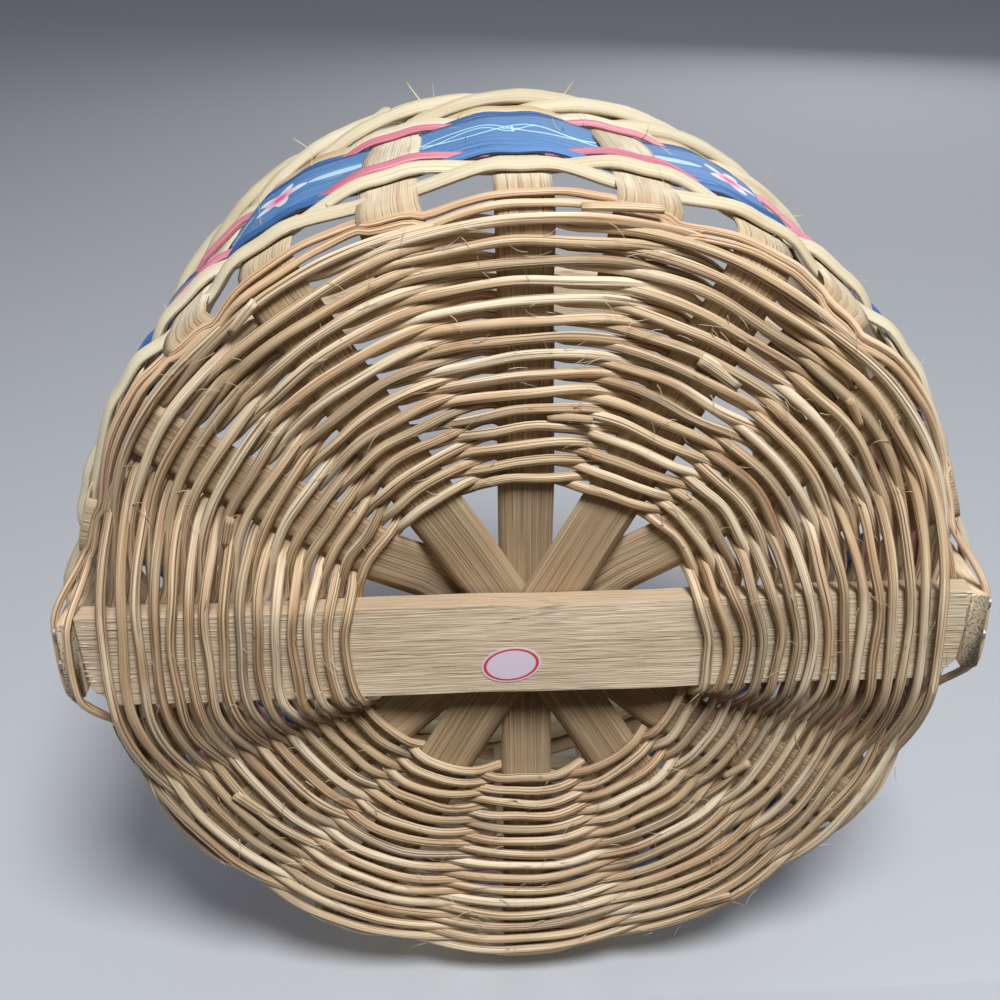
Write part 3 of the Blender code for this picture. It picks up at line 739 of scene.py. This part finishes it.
def sawnWood(name, light, middle, dark, roughness, footHeight=0.0):
    made, tree, shader = newMaterial(name, roughness)
    place = addNode(tree, "ShaderNodeTexCoord").outputs["Object"]
    # the bar's grain runs along X, and the bent hoop's grain follows its own map
    along = addNode(tree, "ShaderNodeUVMap", uv_map="reed").outputs["UV"] if footHeight else place
    bands = stretchedNoise(tree, along, (5, 60, 60), 2.0)
    grain = stretchedNoise(tree, along, (52, 1500, 1500), 3.0, 0.65)
    hair = stretchedNoise(tree, along, (95, 2300, 2300), 2.0, 0.6)
    cracks = stretchedNoise(tree, along, (75, 1500, 1500), 2.0, 0.5)
    growth = stretchedNoise(tree, along, (6, 95, 95), 2.0, 0.4)
    blotches = stretchedNoise(tree, place, (28, 90, 90), 2.0)
    mixed = calc(tree, "ADD", calc(tree, "MULTIPLY", bands, 0.35), calc(tree, "MULTIPLY", grain, 0.65))
    shade = ramp(tree, mixed, [(0.36, colour(*dark)), (0.5, colour(*middle)), (0.63, colour(*light))])
    shade = layOver(tree, shade, stepBetween(tree, hair, 0.5, 0.72), 0.4, light)
    shade = layOver(tree, shade, stepBetween(tree, blotches, 0.56, 0.76), 0.22, dark)
    # thin growth lines wander along the grain, between short dark checks
    growthLines = fadeBetween(tree, calc(tree, "ABSOLUTE", calc(tree, "SUBTRACT", growth, 0.5)), 0.004, 0.012)
    broken = calc(tree, "MULTIPLY", growthLines, stepBetween(tree, hair, 0.42, 0.56))
    split = calc(tree, "MAXIMUM", stepBetween(tree, cracks, 0.62, 0.74), broken)
    crackMask = calc(tree, "MULTIPLY", split, 0.45)
    shade = blendColour(tree, crackMask, shade, colour(110, 88, 66))
    height = calc(tree, "ADD", grain, calc(tree, "MULTIPLY", hair, 0.5))
    height = calc(tree, "SUBTRACT", height, calc(tree, "MULTIPLY", crackMask, 0.6))
    parts = addNode(tree, "ShaderNodeSeparateXYZ")
    plug(tree, parts.inputs[0], place)
    if footHeight:
        # the foot's sawn end shows open pores
        foot = fadeBetween(tree, parts.outputs[2], footHeight, footHeight + 0.5 * mm)
        pores = stretchedNoise(tree, place, (2000, 2000, 2000), 2.0)
        opened = stepBetween(tree, pores, 0.5, 0.6)
        porous = blendColour(tree, opened, colour(198, 184, 160), colour(128, 110, 86))
        shade = blendColour(tree, foot, shade, porous)
    else:
        # painted shade: the bar's long sides are painted darker than its sawn faces
        paintedSideShade = stepBetween(tree, calc(tree, "ABSOLUTE", parts.outputs[1]), 13.4 * mm, 13.75 * mm)
        shade = layOver(tree, shade, paintedSideShade, 0.7, (172, 148, 122))
    plug(tree, shader.inputs["Base Color"], shade)
    shader.inputs["Specular IOR Level"].default_value = 0.22
    addBump(tree, shader, height, 0.75, 0.45 * mm)
    return made


barWood = sawnWood("barWood", (229, 216, 194), (209, 192, 166), (180, 160, 133), 0.85)
hoopWood = sawnWood("hoopWood", (229, 212, 186), (210, 187, 157), (182, 154, 124), 0.66, 4.6 * mm)

bm = bmesh.new()
half, side = baseBar["length"] / 2, basket["barWidth"] / 2
slant, cut = baseBar["slant"], baseBar["cut"]
outline = [
    (-half, -side), (half, -side), (half - 0.7 * mm, -side + 7 * mm), (half - 0.6 * mm, -1 * mm),
    (half - slant, side - cut), (half - cut - slant, side), (-half + cut + slant, side),
    (-half + slant, side - cut), (-half + 0.6 * mm, -2 * mm),
]
corners = [bm.verts.new((x, y, basket["barUnderside"])) for x, y in outline]
underside = bm.faces.new(corners)
liftFaces(bm, [underside], basket["barTop"] - basket["barUnderside"])
bmesh.ops.recalc_face_normals(bm, faces=bm.faces)
edges = list(bm.edges)
bmesh.ops.bevel(bm, geom=edges, offset=baseBar["edge"], segments=2, profile=0.5, affect="EDGES", material=-1)
for number in range(1, baseBar["cuts"]):
    cutAt = -half + baseBar["length"] * number / baseBar["cuts"]
    everything = list(bm.verts) + list(bm.edges) + list(bm.faces)
    bmesh.ops.bisect_plane(bm, geom=everything, plane_co=(cutAt, 0, 0), plane_no=(1, 0, 0))
for vert in bm.verts:
    vert.co.y += 0.22 * mm * math.sin(vert.co.x * 61) + 0.1 * mm * math.sin(vert.co.x * 210 + 1)
    vert.co.z += 0.1 * mm * math.sin(vert.co.x * 95 + vert.co.y * 160)
# splinters left by the saw lie along the grain and end a little past the cut
for endSide in (-1, 1):
    for number in range(baseBar["splinters"]):
        across = -side + 0.8 * mm + (2 * side - 2 * mm) * number / baseBar["splinters"]
        inset = 0.6 * mm + max(0, across - side + cut) + slant * (across + side) / (2 * side) * 0.7
        tip = half - inset + dice.uniform(-0.1, 1.0) * mm
        level = basket["barUnderside"] + dice.choice((0.15, 0.2, 1.6, 3.2, 4.8, 6.2)) * mm
        run = ((dice.uniform(3, 8) * mm, 0.3 * mm), (1.5 * mm, 0), (0, dice.uniform(-0.2, 0.1) * mm))
        spot = [Vector((endSide * (tip - back), across, level + rise)) for back, rise in run]
        sliver = ovalSection(0.7 * mm, dice.uniform(0.5, 1.5) * mm, 5)
        addStrip(bm, spot, [Vector((0, 0, -1))] * 3, sliver, size=[1, 1, 0.35])
finishPiece("base_bar", bm, barWood, ["handle_base_bar"])

# Hoop handle: a bent strip on edge outside the bar's ends
hoop = {"round": 1 * mm, "footSteps": 10, "archSteps": 48, "roundSteps": 4}
middle = (basket["hoopInner"] + basket["hoopOuter"]) / 2
spring = basket["hoopTop"] - basket["hoopOuter"]
rise = (spring - basket["hoopFoot"]) / hoop["footSteps"]
path = [Vector((middle, 0, basket["hoopFoot"] + rise * step)) for step in range(hoop["footSteps"])]
for step in range(hoop["archSteps"] + 1):
    turn = math.pi * step / hoop["archSteps"]
    path.append(Vector((middle * math.cos(turn), 0, spring + middle * math.sin(turn))))
path += [Vector((-point.x, 0, point.z)) for point in reversed(path[:hoop["footSteps"]])]
facing = []
for point in path:
    upright = Vector((math.copysign(1, point.x), 0, 0))
    facing.append(upright if point.z < spring else Vector((point.x, 0, point.z - spring)).normalized())
halfThick, halfWide = (basket["hoopOuter"] - basket["hoopInner"]) / 2, basket["hoopWidth"] / 2
section = []
for outer, upper, first in ((1, -1, -90), (1, 1, 0), (-1, 1, 90), (-1, -1, 180)):
    for step in range(hoop["roundSteps"]):
        turn = math.radians(first + 90 * step / (hoop["roundSteps"] - 1))
        thick = outer * (halfThick - hoop["round"]) + hoop["round"] * math.cos(turn)
        wide = upper * (halfWide - hoop["round"]) + hoop["round"] * math.sin(turn)
        section.append((thick, wide))
bm = bmesh.new()
addStrip(bm, path, facing, section)
finishPiece("hoop_handle", bm, hoopWood, ["handle_hoop"])

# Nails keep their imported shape
steel, tree, shader = newMaterial("nailSteel", 0.5, 1.0)
place = addNode(tree, "ShaderNodeTexCoord").outputs["Object"]
worn = stretchedNoise(tree, place, (900, 900, 900))
greys = [(0.35, colour(158, 154, 146)), (0.7, colour(200, 196, 188))]
plug(tree, shader.inputs["Base Color"], ramp(tree, worn, greys))
for number in range(1, 5):
    nail = nodes[f"handle_nail_{number}"]
    nail.data.materials.clear()
    nail.data.materials.append(steel)
print("frame ready")

# Blank oval label under the bar
label = {
    "length": 16.3 * mm, "width": 11 * mm, "x": -4.5 * mm, "y": 4.8 * mm,
    "turn": math.radians(-8), "rim": 0.82, "thickness": 0.1 * mm, "drop": 0.12 * mm,
}
paper, tree, shader = newMaterial("labelPaper", 0.35)
uv = addNode(tree, "ShaderNodeUVMap", uv_map="reed").outputs["UV"]
length = addNode(tree, "ShaderNodeVectorMath", operation="LENGTH")
plug(tree, length.inputs[0], uv)
distance = length.outputs["Value"]
ringStart = stepBetween(tree, distance, label["rim"] - 0.02, label["rim"] + 0.02)
ring = calc(tree, "MULTIPLY", ringStart, fadeBetween(tree, distance, 0.9, 0.94))
plug(tree, shader.inputs["Base Color"], blendColour(tree, ring, colour(218, 208, 224), colour(204, 62, 60)))
bm = bmesh.new()
bmesh.ops.create_circle(bm, cap_ends=True, segments=48, radius=1)
uvMap = bm.loops.layers.uv.new("reed")
for face in bm.faces:
    for loop in face.loops:
        loop[uvMap].uv = loop.vert.co.to_2d()
bmesh.ops.scale(bm, vec=(label["length"] / 2, label["width"] / 2, 1), verts=bm.verts)
bmesh.ops.rotate(bm, cent=(0, 0, 0), matrix=Matrix.Rotation(label["turn"], 3, "Z"), verts=bm.verts)
bmesh.ops.translate(bm, vec=(label["x"], label["y"], basket["barUnderside"] - label["drop"]), verts=bm.verts)
liftFaces(bm, list(bm.faces), label["thickness"])
bmesh.ops.recalc_face_normals(bm, faces=bm.faces)
finishPiece("blank_label", bm, paper, ["paper_label"])
print("label ready")


# Cut and torn reed ends that stand off the base, and a stake's end that stands off the rim
looseEnds = {
    # radius, angle, length, way it points, rise and width
    "ends": [
        (89.2, 302.1, 13, -1, 1.6, 3.6), (65.2, 279.5, 11, 1, 1.8, 2.5), (94.9, 145.4, 14, 1, 2.6, 3.6),
        (111.2, 61.0, 16, -1, 2.4, 3.6), (117.6, 281.0, 19, 1, 1.2, 2.6), (113.8, 234.2, 10, 1, 2.0, 2.5),
        (104, 322, 9, -1, 1.6, 2.5), (84, 205, 9, 1, 1.4, 2.5), (76, 38, 9, -1, 1.5, 2.5),
    ],
    "level": 3 * mm,
    # angle, lean, reach and width
    "standing": [(244.5, 0.15, 5.2, 6.5), (318.5, -0.12, 3.4, 4)],
}
bm = bmesh.new()
for radius, degrees, length, way, rise, width in looseEnds["ends"]:
    path = []
    facing = []
    for step in range(7):
        share = step / 6
        angle = math.radians(degrees) + way * (share - 0.5) * length * mm / (radius * mm)
        along = radius * mm + 1.6 * mm * share
        offset = looseEnds["level"] * (0.6 + 0.4 * share) + rise * 0.2 * mm * share ** 2
        path.append(onBasket(along, offset, angle))
        facing.append(faceAt(along, angle))
    thick = 1.5 if width > 3 else 2
    addStrip(bm, path, facing, ovalSection(thick * mm, width * mm), size=[0.8, 0.95, 1, 1.02, 1, 0.98, 0.9])
finishPiece("cut_ends", bm, reeds["weavers"])

bm = bmesh.new()
for degrees, lean, reach, width in looseEnds["standing"]:
    path = []
    for step in range(6):
        share = step / 5
        angle = math.radians(degrees) + lean * share
        along = lengthAtHeight(116 * mm + 10 * mm * share)
        path.append(onBasket(along, (2.5 + reach * share ** 1.3) * mm, angle))
    section = flatSection(1 * mm, width * mm, 0.2 * mm)
    addStrip(bm, path, radialFacing(path), section, size=[0.9, 1, 1, 1, 0.95, 0.75])
finishPiece("standing_ends", bm, reeds["pale"])
print("cut ends ready")

# Loose fibres that have split off the reeds
fibreLook = {
    "base": 440, "wall": 110, "thin": 0.07 * mm, "thick": 0.14 * mm,
    # wisps that stand up from the rim: angle, length, lean and half thickness
    "wisps": [
        (259, 11, -0.7, 0.45), (260, 8, 0.1, 0.2), (278, 9, 0.6, 0.35), (279, 7, 0.2, 0.18), (241, 9, -0.4, 0.3),
        (311, 9, 0.2, 0.16), (317, 10, 0.9, 0.35), (316, 8, 0.5, 0.16), (340, 9, 0.4, 0.3),
    ],
}
bm = bmesh.new()


def addFibre(start, heading, outward, length, curl, radius):
    path = []
    point, direction = start.copy(), heading.normalized()
    swerve = direction.cross(outward)
    for step in range(5):
        path.append(point.copy())
        direction = (direction + outward * curl[0] + swerve * curl[1]).normalized()
        point += direction * length / 4
    facing = [outward + direction * 0.01] * 5
    addStrip(bm, path, facing, ovalSection(radius * 2, radius * 2, 3), size=[1, 0.95, 0.8, 0.6, 0.3])


for number in range(fibreLook["base"]):
    along = math.sqrt(dice.uniform(0.17, 1)) * 118 * mm
    angle = dice.uniform(0, 2 * math.pi)
    outward = faceAt(along, angle)
    heading = acrossAt(angle) * dice.choice((-1, 1)) + outwardAt(angle) * dice.uniform(-0.5, 0.5)
    start = onBasket(along, 2.6 * mm, angle)
    if abs(start.y) < basket["barWidth"] / 2 + 3 * mm:
        start.z = basket["barUnderside"] - 2.2 * mm
    length = dice.uniform(2.5, 8) * mm
    curl = (dice.uniform(-0.05, 0.35), dice.uniform(-0.5, 0.5))
    addFibre(start, heading, outward, length, curl, dice.uniform(fibreLook["thin"], fibreLook["thick"]))
for number in range(fibreLook["wall"]):
    along = lengthAtHeight(dice.uniform(22, 124) * mm)
    angle = dice.uniform(0, 2 * math.pi)
    outward = faceAt(along, angle)
    heading = Vector((0, 0, dice.choice((-1, 1)))) + acrossAt(angle) * dice.uniform(-1.2, 1.2)
    heading += outward * dice.uniform(0.1, 0.7)
    length = dice.uniform(3, 10) * mm
    curl = (dice.uniform(-0.1, 0.3), dice.uniform(-0.3, 0.3))
    thin = dice.uniform(fibreLook["thin"], fibreLook["thick"])
    addFibre(onBasket(along, 1.2 * mm, angle), heading, outward, length, curl, thin)
for degrees, length, lean, thick in fibreLook["wisps"]:
    angle = math.radians(degrees)
    outward = outwardAt(angle)
    start = onBasket(lengthAtHeight(123 * mm), 3.5 * mm, angle)
    heading = outward * 1.2 + acrossAt(angle) * lean + Vector((0, 0, 0.2))
    addFibre(start, heading, outward, length * mm, (0.02, dice.uniform(-0.25, 0.25)), thick * mm)
finishPiece("loose_fibres", bm, reeds["pale"])
print("fibres ready")


# Stage: pale floor under the standing basket, and a pale table along its lying side
def oneSided(name, shade):
    made, tree, shader = newMaterial(name, 0.9)
    shader.inputs["Base Color"].default_value = shade
    clear = addNode(tree, "ShaderNodeBsdfTransparent")
    mixer = addNode(tree, "ShaderNodeMixShader")
    back = addNode(tree, "ShaderNodeNewGeometry").outputs["Backfacing"]
    shadow = addNode(tree, "ShaderNodeLightPath").outputs["Is Shadow Ray"]
    plug(tree, mixer.inputs[0], calc(tree, "MAXIMUM", back, shadow))
    tree.links.new(shader.outputs[0], mixer.inputs[1])
    tree.links.new(clear.outputs[0], mixer.inputs[2])
    tree.links.new(mixer.outputs[0], tree.nodes["Material Output"].inputs["Surface"])
    return made


def stagePlane(name, size, place, turn):
    bm = bmesh.new()
    bmesh.ops.create_grid(bm, x_segments=1, y_segments=1, size=size)
    bmesh.ops.rotate(bm, cent=(0, 0, 0), matrix=Matrix.Rotation(turn, 3, "X"), verts=bm.verts)
    bmesh.ops.translate(bm, vec=place, verts=bm.verts)
    mesh = bpy.data.meshes.new(name)
    bm.to_mesh(mesh)
    bm.free()
    plane = bpy.data.objects.new(name, mesh)
    bpy.context.scene.collection.objects.link(plane)
    mesh.materials.append(oneSided(name + "Paint", colour(176, 180, 186)))


stagePlane("floor", 6, (0, 0, -0.2 * mm), 0)
stagePlane("table", 6, (0, 128 * mm, 0), math.pi / 2)


# Light and camera
lamps = {
    "overhead": {"place": (0.15, -1.12, -0.57), "aim": (0, 0, 0.04), "size": 0.45, "power": 21.8},
    "skySide": {"place": (0.5, -0.6, 1.4), "aim": (0, 0, 0.1), "size": 1.2, "power": 5},
    "farSide": {"place": (-0.8, 1.3, 0.8), "aim": (0, 0, 0.1), "size": 1.2, "power": 15},
}
for name, look in lamps.items():
    data = bpy.data.lights.new(name, "AREA")
    data.energy = look["power"]
    data.shape = "DISK"
    data.size = look["size"]
    lamp = bpy.data.objects.new(name, data)
    bpy.context.scene.collection.objects.link(lamp)
    lamp.location = look["place"]
    lamp.rotation_mode = "QUATERNION"
    lamp.rotation_quaternion = (Vector(look["aim"]) - Vector(look["place"])).to_track_quat("-Z", "Y")

world = bpy.context.scene.world or bpy.data.worlds.new("studio")
bpy.context.scene.world = world
world.use_nodes = True
backdrop = world.node_tree.nodes["Background"]
backdrop.inputs["Color"].default_value = (0.82, 0.84, 0.88, 1)
backdrop.inputs["Strength"].default_value = 0.25

camera = {
    "place": (-18.08 * mm, -202.58 * mm, -297.91 * mm),
    "right": (0.99902, 0.01125, -0.04280),
    "down": (-0.02978, 0.88629, -0.46217),
    "forward": (0.03273, 0.46299, 0.88576),
    "focus": 1.34996,
}
lens = bpy.data.cameras.new("photoLens")
lens.sensor_width = 36
lens.lens = 36 * camera["focus"]
lens.clip_start = 0.01
viewer = bpy.data.objects.new("photoCamera", lens)
bpy.context.scene.collection.objects.link(viewer)
up, back = [[-value for value in camera[way]] for way in ("down", "forward")]
turned = Matrix((camera["right"], up, back)).transposed()
viewer.rotation_mode = "QUATERNION"
viewer.rotation_quaternion = turned.to_quaternion()
viewer.location = camera["place"]
bpy.context.scene.camera = viewer
bpy.context.scene.view_settings.view_transform = "Standard"
print("light and camera ready")
